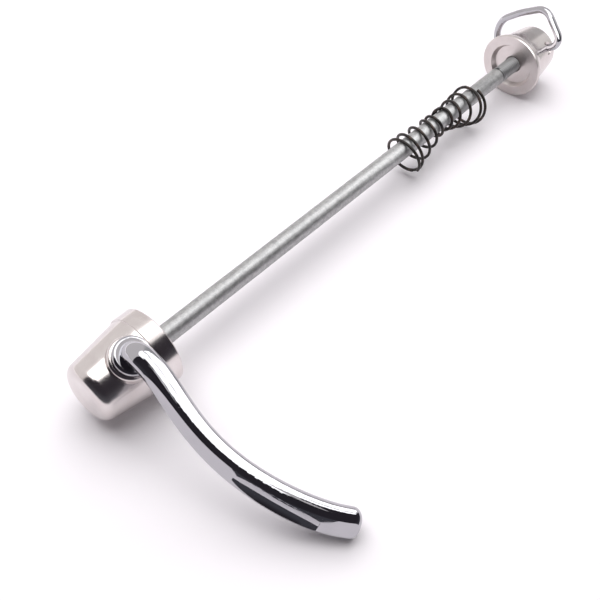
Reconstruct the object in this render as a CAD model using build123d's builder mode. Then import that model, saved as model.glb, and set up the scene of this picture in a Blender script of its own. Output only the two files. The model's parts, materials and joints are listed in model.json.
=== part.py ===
from build123d import *

import os
from math import atan, cos, degrees, radians, sin

os.makedirs("parts", exist_ok=True)

# A quick release skewer, lying closed on a table, in millimetres.
# +X runs along the rod from the lever to the nut and +Z is up. The origin is on the table, under the
# middle of the whole skewer. The flange, the nut's rim and the lever's tip lie on the table.

# clearances
run_gap = 0.05  # radial, round a shaft that turns or slides
face_gap = 0.10  # between faces that turn past each other
seat_gap = 0.02  # between pieces that are assembled and stay put
float_gap = 0.35  # round the rod's head in the housing
cut_over = 1.0  # how far a cut runs past the last face that it goes through
edge_find = 0.01  # either side of a place where edges are picked

# overall
grip_length = 150.0  # clamp face to clamp face
rim_r = 10.0  # flange and nut rim, which carry the skewer on the table
clamp_x = -72.0  # where the rod's axis meets the housing's clamp face
rod_y = 24.87
rod_z = rim_r

# housing
flange_length = 4.6
barrel_root_r = 9.68
barrel_end_r = 7.40
housing_length = 20.6
housing_end_round = 2.7
flange_step_round = 0.25
clamp_edge_chamfer = 0.35
head_bore_depth = 16.6
head_bore_chamfer = 0.4

# lever pivot, square to the rod and turned up from the -Y side
pivot_x = -10.0
pivot_tilt = 59.3
boss_r = 5.25
boss_face = 10.4  # from the rod's axis
boss_round = 0.8

# cam spindle: near journal, eccentric, far journal
throw = 0.7
near_r = 3.4
cam_r = 2.6
far_r = 1.85
cam_near = 5.3  # the eccentric's ends
cam_far = 4.4
far_seat = 7.1
far_seat_r = 4.3
spindle_end = 8.8
washer_t = 0.5
washer_r = 3.6
ring_t = 0.6
ring_r = 3.2
groove_r = 1.40
ring_mouth = 2.2

# rod
rod_r = 2.5
thread_r = 2.12  # its core
thread_show = 7.6  # thread in front of the nut
thread_runout = 0.5
rod_sunk = 0.8  # rod's end, below the nut's end
rod_end_chamfer = 0.6
head_r = 5.05
head_front = 5.0  # either side of the eccentric
head_back = 5.0
cam_float = 0.45  # between the eccentric and the eye

# lever: collar, neck and arm
collar_r = 4.55
collar_height = 1.95
collar_round = 0.75
neck_base = 12.15
neck_bend = 3.8
arm_rise = 0.1892  # away from the boss, per millimetre of reach
arm_route = [(14.5, -1.46), (26.9, -2.45), (39.5, -0.26), (50.9, 4.69), (57.2, 9.30)]  # reach, towards the nut
arm_tip_turn = 0.78
arm_sections = [  # place along the arm, half thickness, half width
    (0.0, 3.00, 3.05),
    (0.2, 2.97, 3.12),
    (0.4, 2.95, 3.32),
    (0.6, 3.15, 3.65),
    (0.8, 3.38, 3.88),
    (1.0, 3.30, 3.80),
]
arm_faces = [  # place, outer face from the centre line, its turn round the arm towards the pivot's end
    (0.0, 3.05, 19.0),
    (0.2, 2.65, 20.0),
    (0.4, 2.57, 22.0),
    (0.6, 2.74, 26.0),
    (0.8, 2.95, 30.0),
    (1.0, 2.91, 34.0),
]
tip_round = 1.9
dish_middle = 0.69
dish_turn = 30.0
dish_length = 20.0
dish_floor = 2.22  # from the arm's centre line
dish_across = 3.6  # radius of the dish across the arm
dish_drop = 0.29  # of its floor towards both ends, as the arm curves away

# conical springs
wire_r = 0.43
narrow_r = 3.27
wide_r = 5.70
closed_pitch = 0.95
narrow_turns = 1
cone_turns = 3
wide_turns = 0.9
cone_length = 13.4
spring_tilt = 10.3  # of a spring that hangs on the rod
spring_sag = 0.05
lever_spring_x = 110.2  # narrow end of the spring at the lever's side
spring_gap = 3.0  # between the two narrow ends
lever_spring_start = (0, -0.438, -0.899)
nut_spring_start = (0, 0.358, 0.934)

# nut
nut_length = 14.2
nut_rim_length = 0.9
nut_neck_r = 8.75
nut_neck_x = 3.6
nut_end_r = 7.14
nut_end_round = 0.8
nut_edge_chamfer = 0.25
recess_r = 7.05
recess_floor_r = 6.2
recess_depth = 1.5
thread_mouth_r = 2.75
lock_ring_r = 3.9
lock_ring_t = 1.9
bail_sink_r = 2.3  # countersinks of the bail's holes

# bail
bail_tilt = 34.0  # of its pivot, up from the -Y side
bail_lean = 14.0  # of the raised loop, away from the rod
bail_back = 3.7  # of its pivot, from the nut's end
bail_wire_r = 1.1
bail_tip = 3.5
bail_foot = 12.8
bail_top = 9.60
bail_height = 11.80
bail_bow = 0.63  # of its top bar
bail_bow_r = 30.0
bail_foot_bend = 2.8
bail_near_bend = 4.6
bail_far_bend = 6.4

nut_end = grip_length + nut_length
thread_start = grip_length - thread_show
rod_end = nut_end - rod_sunk

rod_point = Vector(clamp_x, rod_y, rod_z)
rod_way = Vector(1, 0, 0)
rod_axis = Axis(rod_point, rod_way)
rod_plane = Plane(origin=rod_point, x_dir=rod_way, z_dir=(0, 0, 1))  # x: rod, y: out from it
clamp_plane = Plane(origin=rod_point, x_dir=(0, 1, 0), z_dir=rod_way)
pivot_point = rod_point + rod_way * pivot_x
pivot_out = Vector(0, -cos(radians(pivot_tilt)), sin(radians(pivot_tilt)))
arm_way = Vector(0, -sin(radians(pivot_tilt)), -cos(radians(pivot_tilt)))
pivot_axis = Axis(pivot_point, pivot_out)
pivot_plane = Plane(origin=pivot_point, x_dir=arm_way, z_dir=pivot_out)  # x: arm, y: rod, z: pivot

# housing: a turned cup, closed at the lever end, with a boss for the pivot
with BuildPart() as cam_housing:
    with BuildSketch(rod_plane):
        with BuildLine():
            Polyline(
                (0, 0),
                (0, rim_r),
                (-flange_length, rim_r),
                (-flange_length, barrel_root_r),
                (-housing_length, barrel_end_r),
                (-housing_length, 0),
                close=True,
            )
        make_face()
    revolve(axis=rod_axis)
    rings = cam_housing.edges().filter_by(GeomType.CIRCLE).sort_by(rod_axis)
    fillet(rings[0], radius=housing_end_round)
    rings = cam_housing.edges().filter_by(GeomType.CIRCLE).sort_by(rod_axis)
    chamfer(rings[-1], length=clamp_edge_chamfer)
    step = cam_housing.edges().filter_by(GeomType.CIRCLE).filter_by_position(
        Axis.X, clamp_x - flange_length - edge_find, clamp_x - flange_length + edge_find
    )
    fillet(step.sort_by(SortBy.RADIUS)[0], radius=flange_step_round)
    with BuildSketch(pivot_plane):
        Circle(boss_r)
    extrude(amount=boss_face)
    boss_edge = cam_housing.edges().filter_by(GeomType.CIRCLE).sort_by(pivot_axis)[-1]
    fillet(boss_edge, radius=boss_round)
    with BuildSketch(clamp_plane):
        Circle(head_r + float_gap)
    extrude(amount=-head_bore_depth, mode=Mode.SUBTRACT)
    mouth = cam_housing.edges().filter_by(GeomType.CIRCLE).sort_by(rod_axis)[-2:].sort_by(SortBy.RADIUS)[0]
    chamfer(mouth, length=head_bore_chamfer)
    with BuildSketch(pivot_plane):
        Circle(near_r + run_gap)
    extrude(amount=boss_face + cut_over, mode=Mode.SUBTRACT)
    with BuildSketch(pivot_plane):
        Circle(far_r + run_gap)
    extrude(amount=-rim_r, mode=Mode.SUBTRACT)
    with BuildSketch(pivot_plane.offset(-far_seat)):
        Circle(far_seat_r)
    extrude(amount=-rim_r, mode=Mode.SUBTRACT)
cam_housing.part.label = "cam_housing"
export_step(cam_housing.part, "parts/cam_housing.step")

# lever: the arm's centre line leaves the collar along the pivot and bends over into the curved arm
bend_turn = 90 - degrees(atan(arm_rise))
bend_end = (neck_bend * (1 - cos(radians(bend_turn))), neck_base + neck_bend * sin(radians(bend_turn)))
bend_half = (neck_bend * (1 - cos(radians(bend_turn / 2))), neck_base + neck_bend * sin(radians(bend_turn / 2)))
route = [(x, y, bend_end[1] + arm_rise * (x - bend_end[0])) for x, y in arm_route]
neck_points = [(0, 0, neck_base), (bend_half[0], 0, bend_half[1]), (bend_end[0], 0, bend_end[1])]
arm_points = [pivot_plane.from_local_coords(point) for point in [neck_points[-1], *route]]
arm_start = arm_way + pivot_out * arm_rise
with BuildLine() as neck_line:
    ThreePointArc(*[pivot_plane.from_local_coords(point) for point in neck_points])
with BuildLine() as arm_line:
    Spline(*arm_points, tangents=[arm_start, arm_start + Vector(arm_tip_turn, 0, 0)])
neck_curve = neck_line.edges()[0]
arm_curve = arm_line.edges()[0]


def section_plane(curve, place):
    along = curve.tangent_at(place)
    across = Vector(1, 0, 0) - along * along.X
    return Plane(origin=curve.position_at(place), x_dir=across, z_dir=along)


def face_plane(place, turn):
    base = section_plane(arm_curve, place)
    out = base.y_dir * sin(radians(turn)) - base.x_dir * cos(radians(turn))
    return Plane(origin=base.origin, x_dir=out, z_dir=base.z_dir)


dish_plane = face_plane(dish_middle, dish_turn)
dish_point = dish_plane.origin + dish_plane.x_dir * (dish_floor + dish_across)
dish_cut_plane = Plane(origin=dish_point, x_dir=dish_plane.z_dir, z_dir=-dish_plane.y_dir)

with BuildPart() as cam_lever:
    with BuildSketch(pivot_plane.offset(boss_face + face_gap)):
        Circle(collar_r)
    extrude(amount=collar_height)
    fillet(cam_lever.edges().sort_by(pivot_axis)[-1], radius=collar_round)
    with BuildSketch(pivot_plane.offset(cam_near)):
        Circle(near_r)
    extrude(amount=boss_face + face_gap - cam_near)
    with BuildSketch(pivot_plane.offset(-cam_far)):
        with Locations((0, -throw)):
            Circle(cam_r)
    extrude(amount=cam_far + cam_near)
    with BuildSketch(pivot_plane.offset(-spindle_end)):
        Circle(far_r)
    extrude(amount=spindle_end - cam_far)
    groove = far_seat + seat_gap + washer_t + face_gap
    with BuildSketch(pivot_plane.offset(-groove - ring_t - 2 * seat_gap)):
        Circle(far_r + cut_over)
        Circle(groove_r, mode=Mode.SUBTRACT)
    extrude(amount=ring_t + 2 * seat_gap, mode=Mode.SUBTRACT)
    with BuildSketch(section_plane(neck_curve, 0)):
        Ellipse(arm_sections[0][1], arm_sections[0][2])
    sweep(path=neck_curve)
    for place, half_thick, half_wide in arm_sections:
        with BuildSketch(section_plane(arm_curve, place)):
            Ellipse(half_thick, half_wide)
    loft()
    tip_edge = cam_lever.edges().sort_by(Axis(pivot_point, arm_way))[-1]
    fillet(tip_edge, radius=tip_round)
    for place, face, turn in arm_faces:
        with BuildSketch(face_plane(place, turn)):
            with Locations((face, 0)):
                Rectangle(rod_r, 4 * rod_r, align=(Align.MIN, Align.CENTER))
    loft(mode=Mode.SUBTRACT)
    with BuildSketch(dish_cut_plane):
        with BuildLine():
            dish_edge = ThreePointArc(
                (-dish_length / 2, dish_across + dish_drop),
                (0, dish_across),
                (dish_length / 2, dish_across + dish_drop),
            )
            Polyline(dish_edge @ 1, (dish_length / 2, 0), (-dish_length / 2, 0), dish_edge @ 0)
        make_face()
    revolve(axis=Axis(dish_point, dish_plane.z_dir), mode=Mode.SUBTRACT)
cam_lever.part.label = "cam_lever"
export_step(cam_lever.part, "parts/cam_lever.step")

# washer and retaining ring at the spindle's far end
with BuildPart() as spindle_washer:
    with BuildSketch(pivot_plane.offset(-far_seat - seat_gap)):
        Circle(washer_r)
        Circle(far_r + 2 * run_gap, mode=Mode.SUBTRACT)
    extrude(amount=-washer_t)
spindle_washer.part.label = "spindle_washer"
export_step(spindle_washer.part, "parts/spindle_washer.step")

with BuildPart() as retaining_ring:
    with BuildSketch(pivot_plane.offset(-groove - seat_gap)):
        Circle(ring_r)
        Circle(groove_r + seat_gap, mode=Mode.SUBTRACT)
        with Locations((ring_r / 2, 0)):
            Rectangle(ring_r + cut_over, ring_mouth, mode=Mode.SUBTRACT)
    extrude(amount=-ring_t)
retaining_ring.part.label = "retaining_ring"
export_step(retaining_ring.part, "parts/retaining_ring.step")

# rod: head with the eye for the eccentric, shank, thread
head_x = pivot_x - throw
with BuildPart() as skewer_rod:
    with BuildSketch(rod_plane):
        with BuildLine():
            Polyline(
                (head_x - head_back, 0),
                (head_x - head_back, head_r),
                (head_x + head_front, head_r),
                (head_x + head_front, rod_r),
                (thread_start, rod_r),
                (thread_start + thread_runout, thread_r),
                (rod_end, thread_r),
                (rod_end, 0),
                close=True,
            )
        make_face()
    revolve(axis=rod_axis)
    head_rings = skewer_rod.edges().filter_by(GeomType.CIRCLE).sort_by(rod_axis)
    chamfer(head_rings[0], length=rod_end_chamfer)
    tail_ring = skewer_rod.edges().filter_by(GeomType.CIRCLE).sort_by(rod_axis)[-1]
    chamfer(tail_ring, length=rod_end_chamfer)
    with BuildSketch(pivot_plane):
        with Locations((-throw / 2, -throw)):
            SlotCenterToCenter(throw, 2 * (cam_r + cam_float))
    extrude(amount=head_r + cut_over, both=True, mode=Mode.SUBTRACT)
skewer_rod.part.label = "skewer_rod"
export_step(skewer_rod.part, "parts/skewer_rod.step")

# conical spring: a closed narrow turn, open coils that widen, and a closed wide turn
cone_angle = degrees(atan((wide_r - narrow_r) / cone_length))
narrow_height = closed_pitch * narrow_turns
wide_height = closed_pitch * wide_turns
with BuildPart() as coil:
    with BuildLine() as narrow_line:
        Helix(closed_pitch, narrow_height, narrow_r, lefthand=True)
    with BuildSketch(narrow_line.line ^ 0):
        Circle(wire_r)
    sweep(path=narrow_line.line, is_frenet=True)
    with BuildLine() as cone_line:
        Helix(
            cone_length / cone_turns,
            cone_length,
            narrow_r,
            center=(0, 0, narrow_height),
            cone_angle=cone_angle,
            lefthand=True,
        )
    with BuildSketch(cone_line.line ^ 0):
        Circle(wire_r)
    sweep(path=cone_line.line, is_frenet=True)
    with BuildLine() as wide_line:
        Helix(closed_pitch, wide_height, wide_r, center=(0, 0, narrow_height + cone_length), lefthand=True)
    with BuildSketch(wide_line.line ^ 0):
        Circle(wire_r)
    sweep(path=wide_line.line, is_frenet=True)
    with Locations(cone_line.line @ 0, cone_line.line @ 1):
        Sphere(wire_r)

# two of them, one turned round, each hanging on the rod by its upper side
spring_drop = Vector(0, 0, -sin(radians(spring_tilt)))
spring_run = rod_way * cos(radians(spring_tilt))
with BuildPart() as lever_side_spring:
    lever_spring_plane = Plane(
        origin=rod_point + Vector(lever_spring_x, 0, -spring_sag),
        x_dir=lever_spring_start,
        z_dir=spring_drop - spring_run,
    )
    add(lever_spring_plane.from_local_coords(coil.part))
lever_side_spring.part.label = "lever_side_spring"
export_step(lever_side_spring.part, "parts/lever_side_spring.step")

with BuildPart() as nut_side_spring:
    nut_spring_plane = Plane(
        origin=rod_point + Vector(lever_spring_x + spring_gap, 0, -spring_sag),
        x_dir=nut_spring_start,
        z_dir=spring_drop + spring_run,
    )
    add(nut_spring_plane.from_local_coords(coil.part))
nut_side_spring.part.label = "nut_side_spring"
export_step(nut_side_spring.part, "parts/nut_side_spring.step")

# nut: turned, with a dished clamp face and countersunk holes for the bail
bail_point = rod_point + rod_way * (nut_end - bail_back)
bail_hole_r = nut_end_r + (nut_neck_r - nut_end_r) * bail_back / (nut_length - nut_neck_x)
with BuildPart() as adjusting_nut:
    with BuildSketch(rod_plane):
        with BuildLine():
            Polyline(
                (nut_end, 0),
                (grip_length + recess_depth, 0),
                (grip_length + recess_depth, recess_floor_r),
                (grip_length, recess_r),
                (grip_length, rim_r),
                (grip_length + nut_rim_length, rim_r),
            )
            TangentArc(
                (grip_length + nut_neck_x, nut_neck_r),
                (grip_length + nut_rim_length, rim_r),
                tangent=(nut_neck_x - nut_length, nut_neck_r - nut_end_r),
                tangent_from_first=True,
            )
            Polyline((grip_length + nut_neck_x, nut_neck_r), (nut_end, nut_end_r), (nut_end, 0))
        make_face()
    revolve(axis=rod_axis)
    nut_rings = adjusting_nut.edges().filter_by(GeomType.CIRCLE).sort_by(rod_axis)
    fillet(nut_rings[-1], radius=nut_end_round)
    rim_edge = adjusting_nut.edges().filter_by(GeomType.CIRCLE).filter_by_position(
        Axis.X, clamp_x + grip_length - edge_find, clamp_x + grip_length + edge_find
    )
    chamfer(rim_edge.sort_by(SortBy.RADIUS)[-1], length=nut_edge_chamfer)
    for side in (1, -1):
        bail_out = Vector(0, -cos(radians(bail_tilt)), sin(radians(bail_tilt))) * side
        with BuildSketch(Plane(origin=bail_point, x_dir=rod_way, z_dir=bail_out)):
            Circle(bail_wire_r + run_gap)
        extrude(amount=rim_r, mode=Mode.SUBTRACT)
        with BuildSketch(Plane(origin=bail_point + bail_out * bail_hole_r, x_dir=rod_way, z_dir=bail_out)):
            Circle(bail_sink_r)
        extrude(amount=bail_wire_r + run_gap - bail_sink_r, taper=45, mode=Mode.SUBTRACT)
    with BuildSketch(clamp_plane.offset(grip_length)):
        Circle(thread_r + run_gap)
    extrude(amount=nut_length, mode=Mode.SUBTRACT)
    floor_x = clamp_x + grip_length + recess_depth
    thread_mouth = adjusting_nut.edges().filter_by(GeomType.CIRCLE).filter_by_position(
        Axis.X, floor_x - edge_find, floor_x + edge_find
    )
    chamfer(thread_mouth.sort_by(SortBy.RADIUS)[0], length=thread_mouth_r - thread_r - run_gap)
    with BuildSketch(clamp_plane.offset(nut_end)):
        Circle(lock_ring_r)
    extrude(amount=-lock_ring_t, mode=Mode.SUBTRACT)
adjusting_nut.part.label = "adjusting_nut"
export_step(adjusting_nut.part, "parts/adjusting_nut.step")

with BuildPart() as thread_lock_ring:
    with BuildSketch(clamp_plane.offset(nut_end - lock_ring_t + seat_gap)):
        Circle(lock_ring_r - seat_gap)
        Circle(thread_r + run_gap, mode=Mode.SUBTRACT)
    extrude(amount=lock_ring_t - 2 * seat_gap)
thread_lock_ring.part.label = "thread_lock_ring"
export_step(thread_lock_ring.part, "parts/thread_lock_ring.step")

# bail: bent wire, raised
bail_out = Vector(0, -cos(radians(bail_tilt)), sin(radians(bail_tilt)))
bail_up = Vector(0, sin(radians(bail_tilt)), cos(radians(bail_tilt)))
bail_way = bail_up * cos(radians(bail_lean)) + rod_way * sin(radians(bail_lean))
bail_plane = Plane(origin=bail_point, x_dir=bail_out, z_dir=bail_out.cross(bail_way))
with BuildPart() as wire_bail:
    with BuildLine(bail_plane) as bail_line:
        FilletPolyline(
            (bail_tip, 0),
            (bail_foot, 0),
            (bail_top, bail_height),
            (0, bail_height + bail_bow),
            (-bail_top, bail_height),
            (-bail_foot, 0),
            (-bail_tip, 0),
            radius=[bail_foot_bend, bail_near_bend, bail_bow_r, bail_far_bend, bail_foot_bend],
        )
    with BuildSketch(bail_line.line ^ 0):
        Circle(bail_wire_r)
    sweep(path=bail_line.line)
wire_bail.part.label = "wire_bail"
export_step(wire_bail.part, "parts/wire_bail.step")
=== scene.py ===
import json
from math import atan2, cos, radians, sin

import bpy
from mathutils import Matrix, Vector


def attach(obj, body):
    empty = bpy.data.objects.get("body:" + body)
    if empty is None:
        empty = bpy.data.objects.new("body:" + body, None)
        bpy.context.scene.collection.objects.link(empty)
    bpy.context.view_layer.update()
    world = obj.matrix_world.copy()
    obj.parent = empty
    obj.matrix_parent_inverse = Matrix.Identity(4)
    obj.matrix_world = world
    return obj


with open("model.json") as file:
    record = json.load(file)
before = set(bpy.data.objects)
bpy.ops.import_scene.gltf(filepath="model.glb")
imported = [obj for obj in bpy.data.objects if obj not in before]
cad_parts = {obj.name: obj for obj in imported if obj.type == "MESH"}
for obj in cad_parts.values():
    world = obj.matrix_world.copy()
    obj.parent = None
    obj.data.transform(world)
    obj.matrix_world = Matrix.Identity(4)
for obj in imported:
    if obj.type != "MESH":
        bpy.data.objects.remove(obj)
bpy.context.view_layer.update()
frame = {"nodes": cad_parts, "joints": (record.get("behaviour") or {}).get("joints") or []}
nodes = frame["nodes"]
joints = {joint["name"]: joint for joint in frame["joints"]}
nutFace = Vector(joints["nut_turn"]["pos_m"])  # rod's axis at the nut's clamp face
mm = 0.001
micron = 0.001 * mm
print("frame: %d solids" % len(nodes))


class Wire:  # an output socket that takes plain maths
    def __init__(self, sheet, socket):
        self.sheet = sheet
        self.socket = socket

    def sibling(self, name):  # another output of the same node
        return Wire(self.sheet, self.socket.node.outputs[name])

    def maths(self, operation, first, second):
        return self.sheet.put("Math", {"operation": operation}, {0: first, 1: second})

    def __add__(self, other):
        return self.maths("ADD", self, other)

    def __radd__(self, other):
        return self.maths("ADD", other, self)

    def __sub__(self, other):
        return self.maths("SUBTRACT", self, other)

    def __rsub__(self, other):
        return self.maths("SUBTRACT", other, self)

    def __mul__(self, other):
        return self.maths("MULTIPLY", self, other)

    def __rmul__(self, other):
        return self.maths("MULTIPLY", other, self)

    def __truediv__(self, other):
        return self.maths("DIVIDE", self, other)

    def __rtruediv__(self, other):
        return self.maths("DIVIDE", other, self)

    def __pow__(self, other):
        return self.maths("POWER", self, other)

    def __rpow__(self, other):
        return self.maths("POWER", other, self)

    def larger(self, other):
        return self.maths("MAXIMUM", self, other)

    def step(self, low, high):  # 0 below low, 1 above high, smooth between
        settings = {"interpolation_type": "SMOOTHSTEP"}
        return self.sheet.put("MapRange", settings, {0: self, 1: low, 2: high})


class NodeSheet:  # the node tree of one material or world
    def __init__(self, owner):
        owner.use_nodes = True
        self.tree = owner.node_tree
        self.tree.nodes.clear()

    def put(self, kind, settings=None, sockets=None, out=0):
        node = self.tree.nodes.new("ShaderNode" + kind)
        for key, value in (settings or {}).items():
            setattr(node, key, value)
        for key, value in (sockets or {}).items():
            if isinstance(value, Wire):
                self.tree.links.new(value.socket, node.inputs[key])
            else:
                node.inputs[key].default_value = value
        return Wire(self, node.outputs[out]) if len(node.outputs) else None

    def place(self):
        return self.put("TexCoord", out="Object")

    def blendColours(self, factor, first, second):  # a Mix node's colours are sockets 6 and 7, and output 2
        return self.put("Mix", {"data_type": "RGBA"}, {0: factor, 6: first, 7: second}, out=2)

    def noise(self, vector, scale, detail, roughness=0.5):
        sockets = {"Vector": vector, "Scale": scale, "Detail": detail, "Roughness": roughness}
        return self.put("TexNoise", {}, sockets)

    def dent(self, height, strength, depth):
        return self.put("Bump", {}, {"Strength": strength, "Distance": depth, "Height": height})

    def split(self, vector):
        first = self.put("SeparateXYZ", {}, {0: vector})
        return [first.sibling(axis) for axis in "XYZ"]

    def join(self, x, y, z):
        return self.put("CombineXYZ", {}, {0: x, 1: y, 2: z})

    def finish(self, surface, target="OutputMaterial"):
        self.put(target, {}, {"Surface": surface})

    def paint(self, sockets):
        self.finish(self.put("BsdfPrincipled", {}, sockets))


def startMaterial(name):
    material = bpy.data.materials.new(name)
    return material, NodeSheet(material)


def fromRodAxis(y, z):
    across = y - nutFace.y
    above = z - nutFace.z
    return (across * across + above * above) ** 0.5


def dress(material, *names):
    for name in names:
        mesh = nodes[name].data
        mesh.materials.clear()
        mesh.materials.append(material)


# In the finishes below, a noise is its scale, detail and roughness, an edge is where a blend
# starts and ends, a dent is its strength and depth, and rough is the shader's roughness.

# polished alloy, turned: fine marks run round the rod's axis
alloy = {
    "polishedHousing": {
        "pale": (0.71, 0.668, 0.658, 1.0),
        "warm": (0.66, 0.61, 0.60, 1.0),
        "rough": 0.13,
    },
    "satinNut": {
        "pale": (0.65, 0.605, 0.595, 1.0),
        "warm": (0.60, 0.55, 0.54, 1.0),
        "rough": 0.25,
    },
    "bodyRough": 0.15,  # of the nut, behind its flange
    "bodyEdge": (2.0 * mm, 3.0 * mm),  # from the nut's clamp face
    "marksPerMetre": 9000.0,
    "marks": (1.0, 3.0),
    "markRough": 0.05,
    "clouds": (190.0, 3.0),
    "cloudEdge": (0.35, 0.7),
    "rubs": (900.0, 4.0, 0.65),
    "rubRough": 0.06,
    "rubDepth": 0.6,  # of a mark's
    "dent": (0.5, 1.2 * micron),
}


def turnedAlloy(name):
    finish = alloy[name]
    material, sheet = startMaterial(name)
    place = sheet.place()
    x, y, z = sheet.split(place)
    turning = alloy["marksPerMetre"]
    marks = sheet.noise(sheet.join(x * turning, fromRodAxis(y, z) * turning, 0.0), *alloy["marks"])
    clouds = sheet.noise(place, *alloy["clouds"]).step(*alloy["cloudEdge"])
    rubs = sheet.noise(place, *alloy["rubs"])
    body = (x - nutFace.x).step(*alloy["bodyEdge"])
    rough = finish["rough"] + body * (alloy["bodyRough"] - finish["rough"])
    sheet.paint(
        {
            "Base Color": sheet.blendColours(clouds, finish["pale"], finish["warm"]),
            "Metallic": 1.0,
            "Roughness": rough + marks * alloy["markRough"] + rubs * alloy["rubRough"],
            "Normal": sheet.dent(marks + rubs * alloy["rubDepth"], *alloy["dent"]),
        }
    )
    return material


dress(turnedAlloy("polishedHousing"), "cam_housing")
dress(turnedAlloy("satinNut"), "adjusting_nut")

# bright chrome on the lever and the bail, with faint handling smudges
chrome = {
    "bright": (0.455, 0.45, 0.475, 1.0),
    "smudged": (0.42, 0.415, 0.44, 1.0),
    "rough": 0.03,
    "smudges": (140.0, 4.0, 0.6),
    "smudgeEdge": (0.45, 0.75),
    "smudgeRough": 0.04,
    "ripple": (260.0, 1.0),
    "grains": (2600.0, 2.0),
    "grainRough": 0.015,
    "grainDepth": 0.05,  # of a ripple's
    "dent": (0.25, 4.0 * micron),
}


def brightChrome():
    material, sheet = startMaterial("brightChrome")
    place = sheet.place()
    smudge = sheet.noise(place, *chrome["smudges"]).step(*chrome["smudgeEdge"])
    grains = sheet.noise(place, *chrome["grains"])
    ripple = sheet.noise(place, *chrome["ripple"])
    sheet.paint(
        {
            "Base Color": sheet.blendColours(smudge, chrome["bright"], chrome["smudged"]),
            "Metallic": 1.0,
            "Roughness": chrome["rough"] + smudge * chrome["smudgeRough"] + grains * chrome["grainRough"],
            "Normal": sheet.dent(ripple + grains * chrome["grainDepth"], *chrome["dent"]),
        }
    )
    return material


dress(brightChrome(), "cam_lever", "wire_bail")

# dull zinc on the rod: mottled grain with faint drawing lines, and painted shade darkening the roots of the
# thread
zinc = {
    "light": (0.53, 0.53, 0.53, 1.0),
    "dark": (0.365, 0.365, 0.37, 1.0),
    "rootShade": (0.07, 0.07, 0.073, 1.0),  # painted shade in the roots of the thread
    "rootShadeEdge": (2.20 * mm, 2.40 * mm),  # where the painted shade fades out, from the rod's axis
    "rough": 0.45,
    "grain": (2600.0, 3.0, 0.6),
    "blotch": (850.0, 3.0, 0.6),
    "lines": (1.0, 2.0),
    "linesPerMetre": (60.0, 5200.0),  # along the rod and across it
    "shares": (0.35, 0.45, 0.2),  # of grain, blotch and lines in the mottle
    "mottleEdge": (0.38, 0.62),
    "mottleRough": 0.08,
    "lineRough": 0.05,
    "lineDepth": 0.4,  # of a grain's
    "dent": (0.6, 10.0 * micron),
}


def dullZinc():
    material, sheet = startMaterial("dullZinc")
    place = sheet.place()
    x, y, z = sheet.split(place)
    along, across = zinc["linesPerMetre"]
    grain = sheet.noise(place, *zinc["grain"])
    blotch = sheet.noise(place, *zinc["blotch"])
    lines = sheet.noise(sheet.join(x * along, y * across, z * across), *zinc["lines"])
    grainShare, blotchShare, lineShare = zinc["shares"]
    mottle = (grain * grainShare + blotch * blotchShare + lines * lineShare).step(*zinc["mottleEdge"])
    plating = sheet.blendColours(mottle, zinc["dark"], zinc["light"])
    # painted shade: the colour turns nearly black towards the thread's roots, close to the rod's axis
    awayFromRoots = fromRodAxis(y, z).step(*zinc["rootShadeEdge"])
    sheet.paint(
        {
            "Base Color": sheet.blendColours(awayFromRoots, zinc["rootShade"], plating),
            "Metallic": 1.0,
            "Roughness": zinc["rough"] + mottle * zinc["mottleRough"] + lines * zinc["lineRough"],
            "Normal": sheet.dent(grain + lines * zinc["lineDepth"], *zinc["dent"]),
        }
    )
    return material


rodZinc = dullZinc()
dress(rodZinc, "skewer_rod")

# blackened spring wire, brown where it is rubbed
springWire = {
    "black": (0.015, 0.012, 0.011, 1.0),
    "brown": (0.075, 0.050, 0.041, 1.0),
    "metal": 0.35,
    "rough": 0.30,
    "rubs": (520.0, 4.0, 0.6),
    "rubEdge": (0.45, 0.7),
    "rubRough": 0.2,
    "grain": (4200.0, 2.0),
    "dent": (0.4, 8.0 * micron),
}


def blackenedWire():
    material, sheet = startMaterial("blackenedWire")
    place = sheet.place()
    rubs = sheet.noise(place, *springWire["rubs"])
    grain = sheet.noise(place, *springWire["grain"])
    rubbed = rubs.step(*springWire["rubEdge"])
    sheet.paint(
        {
            "Base Color": sheet.blendColours(rubbed, springWire["black"], springWire["brown"]),
            "Metallic": springWire["metal"],
            "Roughness": springWire["rough"] + rubs * springWire["rubRough"],
            "Normal": sheet.dent(grain, *springWire["dent"]),
        }
    )
    return material


dress(blackenedWire(), "lever_side_spring", "nut_side_spring")

# plain steel of the washer and the ring that hold the lever, mostly out of sight
steel = {
    "bright": (0.52, 0.52, 0.52, 1.0),
    "worn": (0.38, 0.37, 0.36, 1.0),
    "rough": 0.28,
    "wear": (700.0, 4.0),
    "wearEdge": (0.4, 0.65),
    "wearRough": 0.2,
}


def plainSteel():
    material, sheet = startMaterial("plainSteel")
    wear = sheet.noise(sheet.place(), *steel["wear"])
    sheet.paint(
        {
            "Base Color": sheet.blendColours(wear.step(*steel["wearEdge"]), steel["bright"], steel["worn"]),
            "Metallic": 1.0,
            "Roughness": steel["rough"] + wear * steel["wearRough"],
        }
    )
    return material


dress(plainSteel(), "spindle_washer", "retaining_ring")

# pale plastic of the ring in the nut
plastic = {
    "pale": (0.80, 0.80, 0.76, 1.0),
    "shade": (0.70, 0.70, 0.66, 1.0),
    "rough": 0.45,
    "clouds": (350.0, 3.0),
    "cloudRough": 0.15,
    "grain": (5000.0, 2.0),
    "dent": (0.3, 8.0 * micron),
}


def ringPlastic():
    material, sheet = startMaterial("ringPlastic")
    place = sheet.place()
    clouds = sheet.noise(place, *plastic["clouds"])
    grain = sheet.noise(place, *plastic["grain"])
    sheet.paint(
        {
            "Base Color": sheet.blendColours(clouds, plastic["pale"], plastic["shade"]),
            "Roughness": plastic["rough"] + clouds * plastic["cloudRough"],
            "Normal": sheet.dent(grain, *plastic["dent"]),
        }
    )
    return material


dress(ringPlastic(), "thread_lock_ring")
print("finishes: %d" % len(bpy.data.materials))

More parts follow.
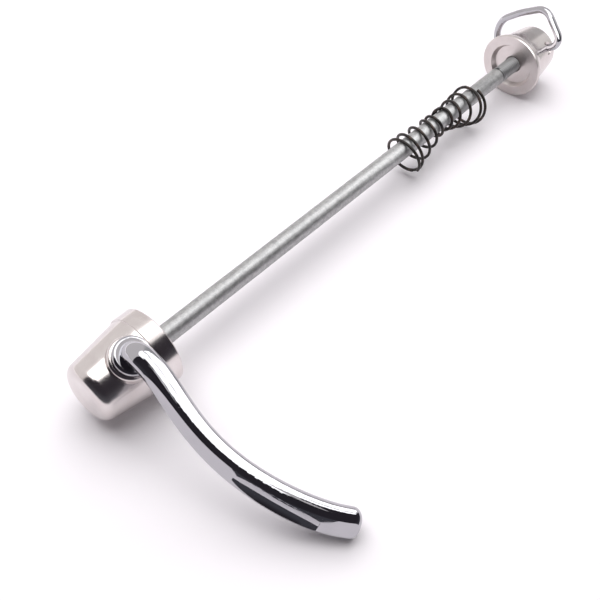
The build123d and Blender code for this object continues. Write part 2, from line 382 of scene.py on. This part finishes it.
# rolled thread between the rod's shoulder and the nut
rodThread = {
    "pitch": 0.8 * mm,
    "crest": 2.43 * mm,
    "root": 2.13 * mm,
    "flank": 2.9,  # how fast the sides rise
    "rootFlat": 0.22,
    "back": 7.1 * mm,  # from the nut's clamp face to the thread's start
    "turns": 11,
    "steps": 56,  # in one turn
    "cuts": 7,  # in the profile
    "wall": 0.12 * mm,
    "weld": 1.0 * micron,
    "smooth": 40,  # degrees
}


def screwThread():
    bpy.ops.object.select_all(action="DESELECT")
    start = nutFace - Vector((rodThread["back"], 0, 0))
    bpy.ops.mesh.primitive_plane_add(size=rodThread["pitch"], location=start)
    thread = bpy.context.object
    thread.name = "rodThread"
    bpy.ops.object.mode_set(mode="EDIT")
    bpy.ops.mesh.select_mode(type="VERT")
    bpy.ops.mesh.select_all(action="DESELECT")
    bpy.ops.object.mode_set(mode="OBJECT")
    for vertex in thread.data.vertices:
        vertex.select = vertex.co.y < 0  # the near edge goes, and the far one is the profile
    bpy.ops.object.mode_set(mode="EDIT")
    bpy.ops.mesh.delete(type="VERT")
    bpy.ops.mesh.select_all(action="SELECT")
    bpy.ops.mesh.subdivide(number_cuts=rodThread["cuts"])
    bpy.ops.object.mode_set(mode="OBJECT")
    depth = rodThread["crest"] - rodThread["root"]
    for vertex in thread.data.vertices:
        along = vertex.co.x / rodThread["pitch"] + 0.5  # 0 to 1 over one pitch
        rise = (0.5 - abs(along - 0.5)) * rodThread["flank"] - rodThread["rootFlat"]
        rise = min(1.0, max(0.0, rise))
        vertex.co = (along * rodThread["pitch"], 0, rodThread["root"] + depth * rise)
    screw = thread.modifiers.new("screw", "SCREW")
    screw.axis = "X"
    screw.screw_offset = rodThread["pitch"]
    screw.iterations = rodThread["turns"]
    screw.steps = rodThread["steps"]
    screw.render_steps = rodThread["steps"]
    screw.use_merge_vertices = True
    screw.merge_threshold = rodThread["weld"]
    bpy.ops.object.modifier_apply(modifier="screw")
    bpy.ops.object.mode_set(mode="EDIT")
    bpy.ops.mesh.select_all(action="SELECT")
    bpy.ops.mesh.remove_doubles(threshold=rodThread["weld"])
    bpy.ops.mesh.normals_make_consistent(inside=False)
    bpy.ops.object.mode_set(mode="OBJECT")
    wall = thread.modifiers.new("wall", "SOLIDIFY")
    wall.thickness = rodThread["wall"]
    wall.offset = -1.0  # inwards
    bpy.ops.object.modifier_apply(modifier="wall")
    bpy.ops.object.transform_apply(location=True, rotation=True, scale=True)
    bpy.ops.object.shade_smooth_by_angle(angle=radians(rodThread["smooth"]))
    thread.data.materials.append(rodZinc)
    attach(thread, "rod")
    print("thread: %d faces" % len(thread.data.polygons))


screwThread()

# pale floor, white to the eye, that keeps the shadow
floorSheet = {
    "size": 6.0,
    "turn": 41.855,
    "nearEdge": 0.099,  # from the origin, just outside the picture
    "under": 20.0 * micron,  # below the object
    "paper": (0.96, 0.925, 0.96, 1.0),
    "lift": (0.05, 0.05, 0.05, 1.0),
    "farLift": (1.0, 1.0, 1.0, 1.0),
    "fade": (0.30, 0.75),  # from the one lift to the other
}


def paleFloor():
    bpy.ops.object.select_all(action="DESELECT")
    reach = floorSheet["size"] / 2 - floorSheet["nearEdge"]
    turn = radians(floorSheet["turn"])
    centre = (reach * cos(turn), reach * sin(turn), -floorSheet["under"])
    bpy.ops.mesh.primitive_plane_add(size=floorSheet["size"], location=centre, rotation=(0, 0, turn))
    floor = bpy.context.object
    floor.name = "paleFloor"
    bpy.ops.object.transform_apply(location=True, rotation=True, scale=True)
    material, sheet = startMaterial("palePaper")
    eye = sheet.put("LightPath", out="Is Camera Ray")
    seen = eye.larger(eye.sibling("Is Glossy Ray")).larger(eye.sibling("Is Transmission Ray"))
    paper = sheet.put("BsdfDiffuse", {}, {"Color": floorSheet["paper"]})
    x, y, z = sheet.split(sheet.place())
    away = ((x * x + y * y) ** 0.5).step(*floorSheet["fade"])
    lift = sheet.blendColours(away, floorSheet["lift"], floorSheet["farLift"])
    glow = sheet.put("Emission", {}, {"Color": lift, "Strength": 1.0})
    lifted = sheet.put("AddShader", {}, {0: paper, 1: glow})
    sheet.finish(sheet.put("MixShader", {}, {0: seen, 1: paper, 2: lifted}))
    floor.data.materials.append(material)


paleFloor()

# studio: pale room with a white ceiling, as metal sees it, and an even ambient on matt surfaces
studio = {
    "plain": (1.0, 1.0, 1.0, 1.0),  # as the camera sees it
    "fill": 0.06,
    "tint": (1.0, 0.86, 0.94, 1.0),
    "room": (0.92, 0.89, 0.885, 1.0),
    "low": (0.55, 0.55, 0.56, 1.0),  # a dimmer stretch beyond the nut
    "lowWay": (0.990, 0.140),
    "lowEdge": (0.86, 0.97),
    "ceiling": (2.7, 2.7, 2.7, 1.0),
    "ceilingEdge": (0.875, 0.905),
    "least": 0.0001,  # keeps the middle of the ceiling from a division by nought
}


def studioWorld():
    world = bpy.data.worlds.new("studioWorld")
    bpy.context.scene.world = world
    sheet = NodeSheet(world)
    x, y, z = sheet.split(sheet.put("TexCoord", out="Generated"))
    flat = (x * x + y * y).larger(studio["least"]) ** 0.5
    low = (x * studio["lowWay"][0] + y * studio["lowWay"][1]) / flat
    colour = sheet.blendColours(low.step(*studio["lowEdge"]), studio["room"], studio["low"])
    colour = sheet.blendColours(z.step(*studio["ceilingEdge"]), colour, studio["ceiling"])
    eye = sheet.put("LightPath", out="Is Camera Ray")
    mirror = eye.sibling("Is Glossy Ray")
    ambient = sheet.put("Background", {}, {"Color": studio["tint"], "Strength": studio["fill"]})
    reflected = sheet.put("Background", {}, {"Color": colour, "Strength": 1.0})
    plain = sheet.put("Background", {}, {"Color": studio["plain"], "Strength": 1.0})
    light = sheet.put("MixShader", {}, {0: mirror, 1: ambient, 2: reflected})
    sheet.finish(sheet.put("MixShader", {}, {0: eye, 1: light, 2: plain}), "OutputWorld")


studioWorld()

# camera at the photograph's angle
camera = {
    "place": (-0.14695, -0.08780, 0.17357),
    "turn": [radians(angle) for angle in (41.457, 0.0, -48.145)],
    "lens": 54.0,
    "sensor": 36.0,
    "clip": (0.005, 50.0),
}


def placeCamera():
    data = bpy.data.cameras.new("camera")
    data.sensor_width = camera["sensor"]
    data.lens = camera["lens"]
    data.clip_start, data.clip_end = camera["clip"]
    eye = bpy.data.objects.new("camera", data)
    bpy.context.scene.collection.objects.link(eye)
    eye.location = camera["place"]
    eye.rotation_euler = camera["turn"]
    bpy.context.scene.camera = eye


placeCamera()
print("floor, world and camera")

# cards round the table, which only the metal sees: dark on the near sides, white at the right
cards = {
    "darkSide": [(-0.180, 0.070), (-0.180, -0.115)],
    "darkFront": [(-0.180, -0.115), (0.060, -0.115)],
    "darkRight": [(0.060, -0.115), (0.122, -0.048)],
    "whiteRight": [(0.122, -0.048), (0.250, -0.025)],
    "whiteEnd": [(0.250, -0.025), (0.275, 0.025)],
    "bottom": -0.20,
    "top": 0.255,
    "black": (0.036, 0.032, 0.040, 1.0),
    "dusk": (0.080, 0.080, 0.094, 1.0),
    "duskTop": 0.070,
    "white": (1.0, 1.0, 1.0, 1.0),
    "shade": (0.72, 0.72, 0.72, 1.0),
    "shadeTop": 0.105,
    "hood": (0.15, 0.18),  # dark shape round the camera
    "skylight": [(-0.010, -0.050), (0.110, 0.060)],
    "skylightTop": 0.15,
    "skyEnd": [(0.062, -0.020), (0.062, 0.030)],  # hangs from the skylight, over the rod
    "skyEndLow": 0.026,
    "sky": (3.0, 3.0, 3.0, 1.0),
}


def cardPaper(name, low, high, change):
    material, sheet = startMaterial(name)
    x, y, z = sheet.split(sheet.place())
    colour = sheet.blendColours(z.step(0.0, change), low, high)
    sheet.finish(sheet.put("Emission", {}, {"Color": colour, "Strength": 1.0}))
    return material


def skyPaper():
    material, sheet = startMaterial("skyPaper")
    sheet.finish(sheet.put("Emission", {}, {"Color": cards["sky"], "Strength": 1.0}))
    return material


def hangCard(name, material, size, place, turn):
    bpy.ops.object.select_all(action="DESELECT")
    bpy.ops.mesh.primitive_plane_add(size=1, location=place, rotation=turn)
    card = bpy.context.object
    card.name = name
    card.scale = (size[0], size[1], 1)
    bpy.ops.object.transform_apply(location=True, rotation=True, scale=True)
    card.data.materials.append(material)
    card.visible_camera = False
    card.visible_diffuse = False
    card.visible_transmission = False
    card.visible_shadow = False


def standCard(name, material, bottom, top):
    start, end = [Vector(point) for point in cards[name]]
    run = end - start
    middle = (start + end) / 2
    place = (middle.x, middle.y, (bottom + top) / 2)
    hangCard(name, material, (run.length, top - bottom), place, (radians(90), 0, atan2(run.y, run.x)))


def hangSkylight(material):
    start, end = [Vector(point) for point in cards["skylight"]]
    middle = (start + end) / 2
    hangCard("skylight", material, end - start, (middle.x, middle.y, cards["skylightTop"]), (0, 0, 0))


darkPaper = cardPaper("darkPaper", cards["dusk"], cards["black"], cards["duskTop"])
whitePaper = cardPaper("whitePaper", cards["shade"], cards["white"], cards["shadeTop"])
brightPaper = skyPaper()
for name in ("darkSide", "darkFront", "darkRight"):
    standCard(name, darkPaper, cards["bottom"], cards["top"])
for name in ("whiteRight", "whiteEnd"):
    standCard(name, whitePaper, cards["bottom"], cards["top"])
standCard("skyEnd", brightPaper, cards["skyEndLow"], cards["skylightTop"])
hangCard("darkHood", darkPaper, cards["hood"], camera["place"], camera["turn"])
hangSkylight(brightPaper)

# one large soft lamp overhead, which lights matt surfaces only
softbox = {"place": (0.26, 0.36, 1.40), "aim": (0.0, 0.0, 0.0), "width": 2.1, "power": 38.5}


def overheadSoftbox():
    light = bpy.data.lights.new("softbox", "AREA")
    light.shape = "SQUARE"
    light.size = softbox["width"]
    light.energy = softbox["power"]
    lamp = bpy.data.objects.new("softbox", light)
    bpy.context.scene.collection.objects.link(lamp)
    lamp.location = softbox["place"]
    lamp.visible_glossy = False
    lamp.rotation_euler = (Vector(softbox["aim"]) - lamp.location).to_track_quat("-Z", "Y").to_euler()


overheadSoftbox()
print("cards and softbox")
bpy.context.scene.view_settings.view_transform = "Standard"

bpy.context.view_layer.update()
print("done")
